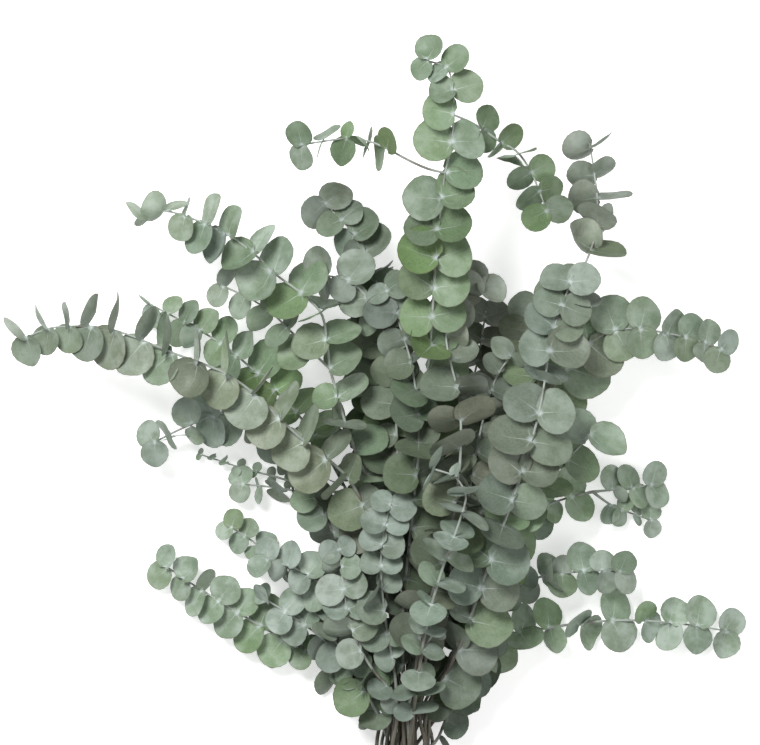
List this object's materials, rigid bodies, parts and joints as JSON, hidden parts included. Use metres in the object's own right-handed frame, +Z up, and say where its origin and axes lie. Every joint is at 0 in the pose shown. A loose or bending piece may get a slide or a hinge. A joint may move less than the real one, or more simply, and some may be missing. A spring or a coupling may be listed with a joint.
{
  "type": "bunch of eucalyptus branches",
  "caption": "Bunch of cut eucalyptus branches with broad round leaves in opposite pairs, tied near the cut ends and lying on its side.",
  "frame": {"origin": "on the surface the bunch rests on, under the middle of its bounding box", "axes": "+Y from the cut ends to the leafy tips, +Z up from the surface, +X to the right seen from above with the tips away"},
  "size_m": [0.6624, 0.7516, 0.1742],
  "materials": {
    "leaf": "matt, grey-green with a waxy bloom; slim grey-brown stems of the same growth",
    "twine": "matt twisted natural fibre"
  },
  "bodies": {
    "root": {"crown_branch": "leaf", "far_left_branch": "leaf", "right_front_branch": "leaf", "right_big_branch": "leaf", "base_big_branch": "leaf", "left_high_branch": "leaf", "far_right_branch": "leaf", "right_high_branch": "leaf", "brown_middle_branch": "leaf", "heart_branch": "leaf", "front_comb_branch": "leaf", "front_middle_branch": "leaf", "front_left_branch": "leaf", "front_low_branch": "leaf", "middle_left_branch": "leaf", "middle_left_high_branch": "leaf", "right_middle_branch": "leaf", "right_low_branch": "leaf", "left_behind_branch": "leaf", "left_middle_branch": "leaf", "left_low_branch": "leaf", "left_spread_branch": "leaf", "left_sprig_branch": "leaf", "far_left_low_branch": "leaf", "left_base_branch": "leaf", "right_lower_branch": "leaf", "far_right_low_branch": "leaf", "right_base_branch": "leaf", "core_left_branch": "leaf", "core_right_branch": "leaf", "core_middle_branch": "leaf", "left_inner_branch": "leaf", "left_fill_branch": "leaf", "right_inner_branch": "leaf", "right_behind_branch": "leaf", "twine": "twine"}
  },
  "joints": []
}
